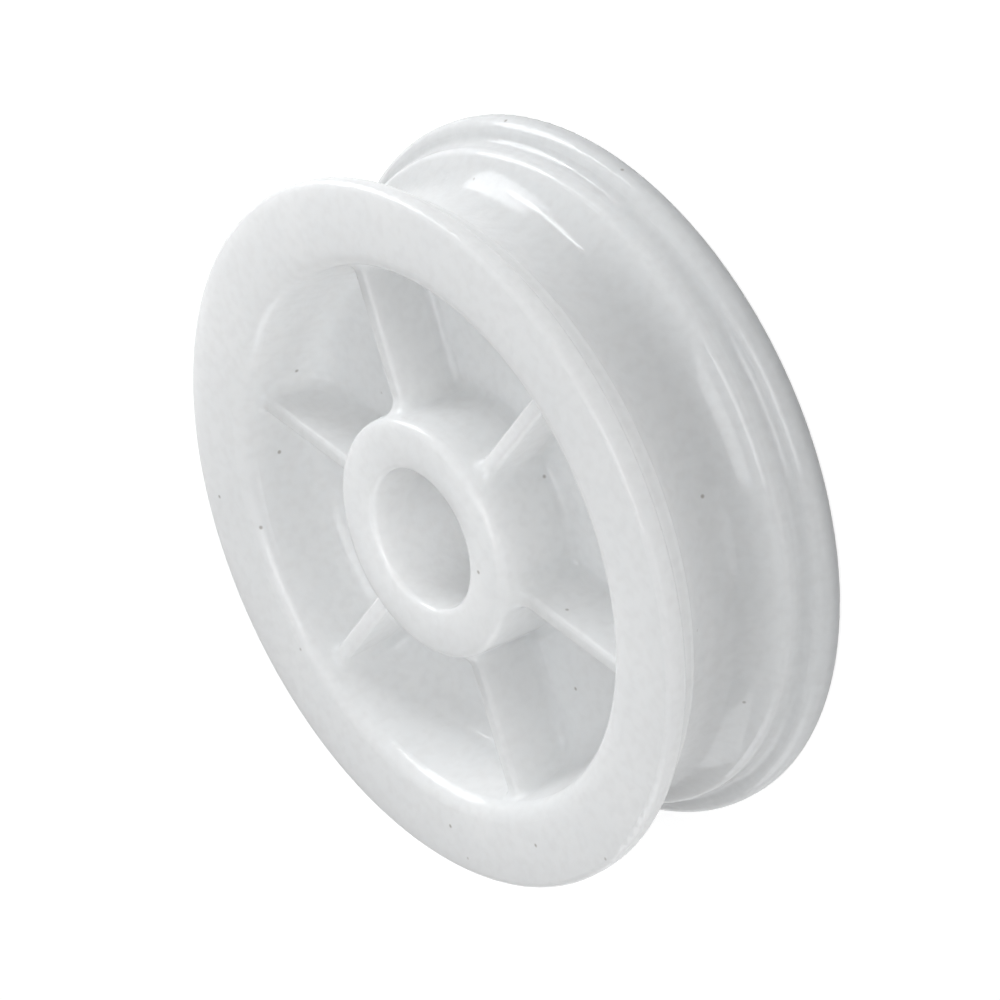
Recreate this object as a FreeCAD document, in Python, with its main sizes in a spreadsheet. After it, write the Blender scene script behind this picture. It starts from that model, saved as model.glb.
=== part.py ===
import FreeCAD, Part
import math
import os
import Sketcher

# Moulded rope sheave, one piece of natural white plastic.
# Millimetres. The sheave lies on one face: its axis is Z, the middle of its bore is the
# origin, and the rope groove runs in the XY plane. Both faces are alike.

doc = FreeCAD.newDocument("rope_sheave")

# Driving dimensions, kept in the sheet. Angles are in degrees.
DIMENSIONS = [
    ("outer_diameter", 100.0, "over the two flanges"),
    ("overall_width", 30.0, "face to face, hub and rims are flush"),
    ("bore_diameter", 20.0, "plain running bore"),
    ("hub_diameter", 34.0, "hub at its end faces"),
    ("hub_draft", 1.5, "angle by which the hub widens towards the web"),
    ("web_thickness", 6.0, "disc between hub and rim"),
    ("rim_width", 11.5, "flat ring of each face, from the outer edge to the recess"),
    ("recess_taper", 2.75, "by how much the recess narrows from the face to the web"),
    ("tip_width", 3.3, "flange tip, from the face to the step"),
    ("step_height", 3.0, "from the flange tip down to the shoulder beside the groove"),
    ("step_slope", 14.0, "angle by which the wall of the step leans towards the groove"),
    ("groove_depth", 8.6, "from the flange tip to the bottom of the rope groove"),
    ("groove_bottom_radius", 8.4, "round bottom of the rope groove"),
    ("groove_angle", 45.0, "angle between the two groove flanks"),
    ("rib_count", 6.0, "ribs in each face"),
    ("rib_thickness", 2.4, "each rib"),
    ("rib_drop", 2.8, "from the face down to the top of a rib"),
    ("rib_corner_round", 2.4, "upright corner between rib and hub"),
    ("rib_edge_round", 0.7, "long top edges of a rib"),
    ("web_round", 1.6, "corner of the web with a rib or the hub"),
    ("lip_round", 2.5, "lip between rim face and recess wall"),
    ("foot_round", 4.0, "hollow corner between recess wall and web"),
    ("rim_round", 0.9, "outer edge of each rim face"),
    ("tip_round", 1.8, "edge between flange tip and step"),
    ("step_round", 1.7, "hollow corner at the foot of the step"),
    ("groove_round", 1.2, "edge between shoulder and groove flank"),
    ("wall_share", 0.6, "largest rounding on a step or shoulder, as a share of its size"),
    ("hub_round", 1.2, "outer edge of each hub face"),
    ("bore_round", 0.8, "edge of the bore at each hub face"),
]
sizes = doc.addObject("Spreadsheet::Sheet", "sizes")
value = {}
for row, (alias, number, note) in enumerate(DIMENSIONS, start=1):
    sizes.set(f"A{row}", alias)
    sizes.set(f"B{row}", str(number))
    sizes.set(f"C{row}", note)
    sizes.setAlias(f"B{row}", alias)
    value[alias] = number
doc.recompute()

half_width = value["overall_width"] / 2
half_web = value["web_thickness"] / 2
bore_radius = value["bore_diameter"] / 2
hub_radius = value["hub_diameter"] / 2
outer_radius = value["outer_diameter"] / 2
recess_radius = outer_radius - value["rim_width"]
foot_radius = recess_radius - value["recess_taper"]
shoulder_radius = outer_radius - value["step_height"]
tip_end = half_width - value["tip_width"]
step_foot = tip_end - value["step_height"] * math.tan(math.radians(value["step_slope"]))
hub_foot_radius = hub_radius + (half_width - half_web) * math.tan(math.radians(value["hub_draft"]))

# The groove's flanks are tangent to its round bottom and reach the shoulders at half_mouth.
bottom_radius = value["groove_bottom_radius"]
flank_angle = math.radians(value["groove_angle"] / 2)
bottom_centre = outer_radius - value["groove_depth"] + bottom_radius
touch_radius = bottom_centre - bottom_radius * math.sin(flank_angle)
touch_height = bottom_radius * math.cos(flank_angle)
half_mouth = touch_height + (shoulder_radius - touch_radius) * math.tan(flank_angle)


def origin_feature(body, role):
    """One of the body's own base planes or axes."""
    return next(item for item in body.Origin.OriginFeatures if item.Role == role)


def sketch_on(body, name, role):
    """A new sketch on a base plane of the body."""
    sketch = body.newObject("Sketcher::SketchObject", name)
    sketch.AttachmentSupport = [(origin_feature(body, role), "")]
    sketch.MapMode = "FlatFace"
    return sketch


def line(sketch, start, end):
    return sketch.addGeometry(
        Part.LineSegment(FreeCAD.Vector(*start, 0), FreeCAD.Vector(*end, 0)), False
    )


def bind(sketch, kind, *where, size, formula):
    """A dimension that follows the sheet's formula."""
    number = sketch.addConstraint(Sketcher.Constraint(kind, *where, size))
    sketch.setExpression(f"Constraints[{number}]", formula)


def place(sketch, piece, point, x_formula, y_formula):
    """Puts the start of a line at a point above the sketch's X axis."""
    bind(sketch, "DistanceX", -1, 1, piece, 1, size=point[0], formula=x_formula)
    bind(sketch, "DistanceY", -1, 1, piece, 1, size=point[1], formula=y_formula)


def join(sketch, pieces):
    """Each piece ends where the next one starts, all the way round."""
    for piece, following in zip(pieces, pieces[1:] + pieces[:1]):
        sketch.addConstraint(Sketcher.Constraint("Coincident", piece, 2, following, 1))


def mirror(sketch, upper, lower):
    """Two starting points lie opposite each other across the sketch's X axis."""
    sketch.addConstraint(Sketcher.Constraint("Symmetric", upper, 1, lower, 1, -1))


def flipped(points):
    return [(x, -y) for x, y in reversed(points)]


def round_edges(body, name, wanted, radius_formula):
    """A fillet on every edge of the body's tip that the test picks."""
    tip = body.Tip
    picked = [f"Edge{i}" for i, edge in enumerate(tip.Shape.Edges, start=1) if wanted(edge)]
    if not picked:
        raise RuntimeError(f"{name}: no edge found")
    fillet = body.newObject("PartDesign::Fillet", name)
    fillet.Base = (tip, picked)
    fillet.setExpression("Radius", radius_formula)
    doc.recompute()


def ring(radius, height):
    """Test for a circle about the axis, on either side of the web."""
    def wanted(edge):
        curve = edge.Curve
        return (
            isinstance(curve, Part.Circle)
            and abs(curve.Radius - radius) < 0.01
            and abs(abs(curve.Center.z) - height) < 0.01
        )
    return wanted


sheave = doc.addObject("PartDesign::Body", "sheave")
sheave.Label = "sheave"

# Section on one side of the axis: hub, web, recess walls, rims and rope groove.
section = sketch_on(sheave, "section", "XZ_Plane")
above = [
    (bore_radius, half_width),
    (hub_radius, half_width),
    (hub_foot_radius, half_web),
    (foot_radius, half_web),
    (recess_radius, half_width),
    (outer_radius, half_width),
    (outer_radius, tip_end),
    (shoulder_radius, step_foot),
    (shoulder_radius, half_mouth),
    (touch_radius, touch_height),
]
below = flipped(above)
upper = [line(section, *ends) for ends in zip(above, above[1:])]
groove_bottom = section.addGeometry(
    Part.ArcOfCircle(
        Part.Circle(FreeCAD.Vector(bottom_centre, 0, 0), FreeCAD.Vector(0, 0, 1), bottom_radius),
        math.pi / 2 + flank_angle,
        3 * math.pi / 2 - flank_angle,
    ),
    False,
)
lower = [line(section, *ends) for ends in zip(below, below[1:] + above[:1])]
bore_top, hub_top, hub_foot, wall_foot, lip, rim_edge, tip_edge, shoulder = upper[:-1]
lower_flank = lower[0]
pieces = upper + [groove_bottom] + lower
for piece, following in zip(pieces, pieces[1:] + pieces[:1]):
    kind = "Tangent" if groove_bottom in (piece, following) else "Coincident"
    section.addConstraint(Sketcher.Constraint(kind, piece, 2, following, 1))
for high, low in zip(upper, reversed(lower)):
    mirror(section, high, low)
half_width_formula = "sizes.overall_width / 2"
half_web_formula = "sizes.web_thickness / 2"
hub_foot_formula = (
    "sizes.hub_diameter / 2"
    " + (sizes.overall_width - sizes.web_thickness) / 2 * tan(sizes.hub_draft * 1 deg)"
)
outer_formula = "sizes.outer_diameter / 2"
recess_formula = f"{outer_formula} - sizes.rim_width"
foot_formula = f"{recess_formula} - sizes.recess_taper"
tip_end_formula = f"{half_width_formula} - sizes.tip_width"
step_foot_formula = f"{tip_end_formula} - sizes.step_height * tan(sizes.step_slope * 1 deg)"
place(section, bore_top, above[0], "sizes.bore_diameter / 2", half_width_formula)
place(section, hub_top, above[1], "sizes.hub_diameter / 2", half_width_formula)
place(section, hub_foot, above[2], hub_foot_formula, half_web_formula)
place(section, wall_foot, above[3], foot_formula, half_web_formula)
place(section, lip, above[4], recess_formula, half_width_formula)
place(section, rim_edge, above[5], outer_formula, half_width_formula)
place(section, tip_edge, above[6], outer_formula, tip_end_formula)
place(section, shoulder, above[7], f"{outer_formula} - sizes.step_height", step_foot_formula)
section.addConstraint(Sketcher.Constraint("Vertical", shoulder))
section.addConstraint(Sketcher.Constraint("PointOnObject", groove_bottom, 3, -1))
bind(
    section, "DistanceX", -1, 1, groove_bottom, 3, size=bottom_centre,
    formula=f"{outer_formula} - sizes.groove_depth + sizes.groove_bottom_radius",
)
bind(
    section, "Radius", groove_bottom, size=bottom_radius, formula="sizes.groove_bottom_radius"
)
bind(
    section, "Angle", lower_flank, 1, -1, 1, size=flank_angle,
    formula="sizes.groove_angle / 2 * 1 deg",
)
doc.recompute()
turned = sheave.newObject("PartDesign::Revolution", "turned_section")
turned.Profile = section
turned.ReferenceAxis = (origin_feature(sheave, "Z_Axis"), "")
turned.Angle = 360
doc.recompute()

# The rounded rings, all before the ribs interrupt them.
round_edges(sheave, "foot_fillet", ring(foot_radius, half_web), "sizes.foot_round")
round_edges(sheave, "lip_fillet", ring(recess_radius, half_width), "sizes.lip_round")
round_edges(sheave, "rim_fillet", ring(outer_radius, half_width), "sizes.rim_round")
half_mouth_formula = (
    "(sizes.groove_bottom_radius / cos(sizes.groove_angle / 2 * 1 deg)"
    " + (sizes.groove_depth - sizes.step_height - sizes.groove_bottom_radius)"
    " * tan(sizes.groove_angle / 2 * 1 deg))"
)
step_limit = "sizes.wall_share * sizes.step_height"
shoulder_limit = f"sizes.wall_share * ({step_foot_formula} - {half_mouth_formula})"
round_edges(
    sheave, "tip_fillet", ring(outer_radius, tip_end),
    f"min(sizes.tip_round; {step_limit})",
)
round_edges(
    sheave, "step_fillet", ring(shoulder_radius, step_foot),
    f"min(sizes.step_round; {step_limit}; {shoulder_limit})",
)
round_edges(
    sheave, "groove_fillet", ring(shoulder_radius, half_mouth),
    f"min(sizes.groove_round; {shoulder_limit})",
)
round_edges(sheave, "hub_fillet", ring(hub_radius, half_width), "sizes.hub_round")
round_edges(sheave, "bore_fillet", ring(bore_radius, half_width), "sizes.bore_round")

# One rib plate goes through the web and stands out of both its faces. It starts in the
# middle of the hub's wall, and its outer end slopes with the recess wall, inside the rim.
rib_root = (bore_radius + hub_radius) / 2
rib_height = half_width - value["rib_drop"]
rib_outline = sketch_on(sheave, "rib_outline", "XZ_Plane")
rib_points = [
    (rib_root, -rib_height),
    (rib_root, rib_height),
    (recess_radius, rib_height),
    (foot_radius, 0),
    (recess_radius, -rib_height),
]
rib_sides = [line(rib_outline, *ends) for ends in zip(rib_points, rib_points[1:] + rib_points[:1])]
root_low, root_top, end_top, end_waist, end_low = rib_sides
join(rib_outline, rib_sides)
mirror(rib_outline, root_top, root_low)
mirror(rib_outline, end_top, end_low)
rib_height_formula = "sizes.overall_width / 2 - sizes.rib_drop"
rib_root_formula = "(sizes.bore_diameter + sizes.hub_diameter) / 4"
place(rib_outline, root_top, rib_points[1], rib_root_formula, rib_height_formula)
place(rib_outline, end_top, rib_points[2], recess_formula, rib_height_formula)
rib_outline.addConstraint(Sketcher.Constraint("PointOnObject", end_waist, 1, -1))
bind(rib_outline, "DistanceX", -1, 1, end_waist, 1, size=foot_radius, formula=foot_formula)
rib = sheave.newObject("PartDesign::Pad", "rib")
rib.Profile = rib_outline
rib.SideType = "Symmetric"
rib.setExpression("Length", "sizes.rib_thickness")
doc.recompute()
ribs = sheave.newObject("PartDesign::PolarPattern", "ribs")
ribs.Originals = [rib]
ribs.Axis = (origin_feature(sheave, "Z_Axis"), "")
ribs.Angle = 360
ribs.setExpression("Occurrences", "sizes.rib_count")
sheave.Tip = ribs
doc.recompute()


def ends_of(edge):
    """The edge's two ends, the one nearer the web first, each as radius and height."""
    ends = sorted((vertex.Point for vertex in edge.Vertexes), key=lambda point: abs(point.z))
    return [(math.hypot(point.x, point.y), point.z) for point in ends]


def rib_top(edge):
    """A long straight edge along the top of a rib."""
    if len(edge.Vertexes) != 2 or not isinstance(edge.Curve, Part.Line):
        return False
    return all(abs(abs(height) - rib_height) < 0.01 for _, height in ends_of(edge))


def rib_corner(edge):
    """An upright edge between a rib's side and the hub, from the web to the rib's top."""
    if len(edge.Vertexes) != 2:
        return False
    (low_radius, low_height), (high_radius, high_height) = ends_of(edge)
    return (
        abs(low_radius - hub_foot_radius) < 0.05
        and high_radius < hub_foot_radius
        and abs(abs(low_height) - half_web) < 0.01
        and abs(high_height) > half_web + 1
    )


def web_corner(edge):
    """An edge in the web's surface at the hub or along a rib, short of the hollow wall."""
    if len(edge.Vertexes) != 2:
        return False
    ends = ends_of(edge)
    on_web = all(abs(abs(height) - half_web) < 0.01 for _, height in ends)
    return on_web and min(radius for radius, _ in ends) < hollow_start - 0.05


# Ribs have softened tops, and grow out of the hub and the web with rounded corners.
wall_slope = math.atan2(recess_radius - foot_radius, half_width - half_web)
hollow_start = foot_radius - value["foot_round"] * math.tan((math.pi / 2 - wall_slope) / 2)
round_edges(sheave, "rib_top_fillet", rib_top, "sizes.rib_edge_round")
round_edges(sheave, "rib_corner_fillet", rib_corner, "sizes.rib_corner_round")
round_edges(sheave, "web_fillet", web_corner, "sizes.web_round")

faults = [item.Label for item in doc.Objects if {"Invalid", "Error"} & set(item.State)]
if faults:
    raise RuntimeError(f"did not compute: {faults}")
if sheave.Shape.isNull() or not sheave.Shape.isValid() or len(sheave.Shape.Solids) != 1:
    raise RuntimeError("the sheave is not one valid solid")
print(f"sheave: {sheave.Shape.Volume / 1000:.1f} cubic centimetres, {len(sheave.Shape.Faces)} faces")

os.makedirs("parts", exist_ok=True)
sheave.Shape.exportStep(f"parts/{sheave.Label}.step")
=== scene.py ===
import math

import bpy
from mathutils import Matrix, Vector


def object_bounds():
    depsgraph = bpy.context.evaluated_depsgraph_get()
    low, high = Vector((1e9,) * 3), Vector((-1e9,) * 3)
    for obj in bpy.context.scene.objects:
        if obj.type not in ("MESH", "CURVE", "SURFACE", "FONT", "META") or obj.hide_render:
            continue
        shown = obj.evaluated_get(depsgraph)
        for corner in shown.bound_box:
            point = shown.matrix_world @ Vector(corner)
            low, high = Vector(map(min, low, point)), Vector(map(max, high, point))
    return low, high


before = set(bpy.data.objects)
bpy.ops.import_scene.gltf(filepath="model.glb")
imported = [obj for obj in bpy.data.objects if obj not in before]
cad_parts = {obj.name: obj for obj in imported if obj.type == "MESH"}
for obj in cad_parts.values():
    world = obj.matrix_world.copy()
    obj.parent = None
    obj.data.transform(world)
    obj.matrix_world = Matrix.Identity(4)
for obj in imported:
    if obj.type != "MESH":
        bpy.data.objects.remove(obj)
cad_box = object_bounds()


# The sheave.
# One moulding of natural nylon: hub, web, ribs, two flanges and the rope groove between them.
# The plastic is milky and lets light through, with a satin skin from the mould, faint flow
# clouds, a fine dusty grain and a few dark specks of burnt plastic.
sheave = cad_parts["sheave"]


def new_material(name):
    """An empty material with its node collections and its output."""
    material = bpy.data.materials.new(name)
    material.use_nodes = True
    nodes = material.node_tree.nodes
    nodes.clear()
    output = nodes.new("ShaderNodeOutputMaterial")
    return material, nodes, material.node_tree.links, output


def add_noise(nodes, links, place, scale, detail):
    """A noise texture on the piece's own coordinates."""
    noise = nodes.new("ShaderNodeTexNoise")
    noise.inputs["Scale"].default_value = scale
    noise.inputs["Detail"].default_value = detail
    links.new(place.outputs["Object"], noise.inputs["Vector"])
    return noise


def add_range(nodes, links, source, low, high, to_low, to_high):
    """A clamped map of a value from one range to another."""
    change = nodes.new("ShaderNodeMapRange")
    change.inputs["From Min"].default_value = low
    change.inputs["From Max"].default_value = high
    change.inputs["To Min"].default_value = to_low
    change.inputs["To Max"].default_value = to_high
    links.new(source, change.inputs["Value"])
    return change


SCATTER_LENGTH = 0.014
CLOUD_SCALE = 60.0
DUST_SCALE = 650.0
GRAIN_SCALE = 1100.0
SPECK_SCALE = 135.0

nylon, nodes, links, output = new_material("natural_nylon")
skin = nodes.new("ShaderNodeBsdfPrincipled")
skin.inputs["IOR"].default_value = 1.5
skin.inputs["Subsurface Weight"].default_value = 1.0
skin.inputs["Subsurface Radius"].default_value = (1.0, 0.97, 0.95)
skin.inputs["Subsurface Scale"].default_value = SCATTER_LENGTH
skin.inputs["Coat Weight"].default_value = 0.5
skin.inputs["Coat Roughness"].default_value = 0.09
place = nodes.new("ShaderNodeTexCoord")
clouds = add_noise(nodes, links, place, CLOUD_SCALE, 3.0)
cloud_step = add_range(nodes, links, clouds.outputs["Fac"], 0.3, 0.7, 0.0, 1.0)
tint = nodes.new("ShaderNodeMix")
tint.data_type = "RGBA"
tint.inputs["A"].default_value = (0.845, 0.855, 0.86, 1.0)
tint.inputs["B"].default_value = (0.88, 0.885, 0.885, 1.0)
links.new(cloud_step.outputs["Result"], tint.inputs["Factor"])
dust = add_noise(nodes, links, place, DUST_SCALE, 1.0)
dust_step = add_range(nodes, links, dust.outputs["Fac"], 0.42, 0.7, 0.0, 0.4)
dusted = nodes.new("ShaderNodeMix")
dusted.data_type = "RGBA"
dusted.inputs["B"].default_value = (0.79, 0.79, 0.79, 1.0)
links.new(dust_step.outputs["Result"], dusted.inputs["Factor"])
links.new(tint.outputs["Result"], dusted.inputs["A"])
links.new(dusted.outputs["Result"], skin.inputs["Base Color"])
gloss = add_range(nodes, links, clouds.outputs["Fac"], 0.3, 0.7, 0.5, 0.6)
links.new(gloss.outputs["Result"], skin.inputs["Roughness"])
grain = add_noise(nodes, links, place, GRAIN_SCALE, 1.0)
fine_bump = nodes.new("ShaderNodeBump")
fine_bump.inputs["Strength"].default_value = 0.15
fine_bump.inputs["Distance"].default_value = 0.0002
links.new(grain.outputs["Fac"], fine_bump.inputs["Height"])
links.new(fine_bump.outputs["Normal"], skin.inputs["Normal"])
burnt = nodes.new("ShaderNodeBsdfDiffuse")
burnt.inputs["Color"].default_value = (0.34, 0.31, 0.28, 1.0)
grains = nodes.new("ShaderNodeTexVoronoi")
grains.inputs["Scale"].default_value = SPECK_SCALE
links.new(place.outputs["Object"], grains.inputs["Vector"])
speck = add_range(nodes, links, grains.outputs["Distance"], 0.02, 0.05, 0.7, 0.0)
specked = nodes.new("ShaderNodeMixShader")
links.new(speck.outputs["Result"], specked.inputs["Fac"])
links.new(skin.outputs["BSDF"], specked.inputs[1])
links.new(burnt.outputs["BSDF"], specked.inputs[2])
links.new(specked.outputs["Shader"], output.inputs["Surface"])
sheave.data.materials.clear()
sheave.data.materials.append(nylon)


# The floor.
# A plain white surface under the lower face. What sees it directly or in a mirror gets a white
# glow with some of the lit paint, so the background is white and keeps the sheave's shadow.
FLOOR_SIZE = 6.0
FLOOR_GLOW = 0.79
lowest = cad_box[0][2]
bpy.ops.mesh.primitive_plane_add(size=FLOOR_SIZE, location=(0, 0, lowest))
floor = bpy.context.object
floor.name = "floor"
white, nodes, links, output = new_material("floor_white")
paint = nodes.new("ShaderNodeBsdfDiffuse")
paint.inputs["Color"].default_value = (0.8, 0.8, 0.8, 1.0)
thin_paint = nodes.new("ShaderNodeBsdfDiffuse")
thin_paint.inputs["Color"].default_value = (0.35, 0.35, 0.35, 1.0)
glow = nodes.new("ShaderNodeEmission")
glow.inputs["Strength"].default_value = FLOOR_GLOW
seen = nodes.new("ShaderNodeAddShader")
links.new(glow.outputs["Emission"], seen.inputs[0])
links.new(thin_paint.outputs["BSDF"], seen.inputs[1])
ray = nodes.new("ShaderNodeLightPath")
seen_or_mirrored = nodes.new("ShaderNodeMath")
seen_or_mirrored.operation = "MAXIMUM"
links.new(ray.outputs["Is Camera Ray"], seen_or_mirrored.inputs[0])
links.new(ray.outputs["Is Glossy Ray"], seen_or_mirrored.inputs[1])
seen_at_all = nodes.new("ShaderNodeMath")
seen_at_all.operation = "MAXIMUM"
links.new(seen_or_mirrored.outputs[0], seen_at_all.inputs[0])
links.new(ray.outputs["Is Transmission Ray"], seen_at_all.inputs[1])
surface = nodes.new("ShaderNodeMixShader")
links.new(seen_at_all.outputs[0], surface.inputs["Fac"])
links.new(paint.outputs["BSDF"], surface.inputs[1])
links.new(seen.outputs["Shader"], surface.inputs[2])
links.new(surface.outputs["Shader"], output.inputs["Surface"])
floor.data.materials.append(white)


# The studio light.
# Large soft lamps on three sides and above, a narrow strip for the glints on the rounded
# edges, a snooted lamp into the bore, and a low even light from all around.
SKY_LEVEL = 0.2
LAMP_DISTANCE = 1.0
LAMP_COLOUR = (0.965, 0.985, 1.0)
SNOOT_DISTANCE = 0.6

world = bpy.data.worlds.new("studio")
bpy.context.scene.world = world
world.use_nodes = True
sky = world.node_tree.nodes["Background"]
sky.inputs["Color"].default_value = (1.0, 0.98, 0.96, 1.0)
sky.inputs["Strength"].default_value = SKY_LEVEL


def softbox(name, azimuth, elevation, width, height, power):
    """A rectangular lamp that faces the sheave from this direction."""
    turn = math.radians(azimuth)
    rise = math.radians(elevation)
    direction = Vector((
        math.cos(rise) * math.cos(turn),
        math.cos(rise) * math.sin(turn),
        math.sin(rise),
    ))
    lamp = bpy.data.lights.new(name, "AREA")
    lamp.shape = "RECTANGLE"
    lamp.size = width
    lamp.size_y = height
    lamp.energy = power
    lamp.color = LAMP_COLOUR
    holder = bpy.data.objects.new(name, lamp)
    holder.location = direction * LAMP_DISTANCE
    holder.rotation_euler = direction.to_track_quat("Z", "Y").to_euler()
    bpy.context.scene.collection.objects.link(holder)


softbox("key", 92, 15, 0.5, 0.5, 4.9)
softbox("strip", 72, 18, 0.6, 0.08, 2.0)
softbox("left", 225, 15, 0.5, 0.5, 1.7)
softbox("fill", 335, 64, 0.5, 0.5, 3.6)
softbox("top", 0, 90, 0.5, 0.5, 1.1)
softbox("right", 305, 3, 0.5, 0.5, 1.6)

snoot = bpy.data.lights.new("snoot", "SPOT")
snoot.energy = 11.0
snoot.spot_size = math.radians(1.9)
snoot.spot_blend = 1.0
snoot.shadow_soft_size = 0.01
snoot_holder = bpy.data.objects.new("snoot", snoot)
bore_wall = Vector((-0.0085, 0.0025, 0.008))
snoot_way = Vector((0.738, -0.207, 0.643))
snoot_holder.location = bore_wall + snoot_way * SNOOT_DISTANCE
snoot_holder.rotation_euler = snoot_way.to_track_quat("Z", "Y").to_euler()
bpy.context.scene.collection.objects.link(snoot_holder)


# The camera.
# A long lens at the photograph's viewing angle. The camera is rolled, as the photograph
# shows the lying sheave with its axis pointing down to the left.
VIEW_AZIMUTH = -15.79
VIEW_ELEVATION = 33.108
VIEW_DISTANCE = 0.728746
VIEW_ROLL = 114.178
FOCAL_LENGTH = 195.331
SENSOR_WIDTH = 36.0
AIM = Vector((-0.0001729, 0.0006194, 0.0005137))
turn = math.radians(VIEW_AZIMUTH)
rise = math.radians(VIEW_ELEVATION)
towards_camera = Vector((
    math.cos(rise) * math.cos(turn),
    math.cos(rise) * math.sin(turn),
    math.sin(rise),
))
lens = bpy.data.cameras.new("camera")
lens.lens = FOCAL_LENGTH
lens.sensor_width = SENSOR_WIDTH
camera = bpy.data.objects.new("camera", lens)
level = towards_camera.to_track_quat("Z", "Y").to_matrix().to_4x4()
roll = Matrix.Rotation(math.radians(-VIEW_ROLL), 4, "Z")
camera.matrix_world = Matrix.Translation(AIM + towards_camera * VIEW_DISTANCE) @ level @ roll
bpy.context.scene.collection.objects.link(camera)
bpy.context.scene.camera = camera
bpy.context.scene.view_settings.view_transform = "Standard"
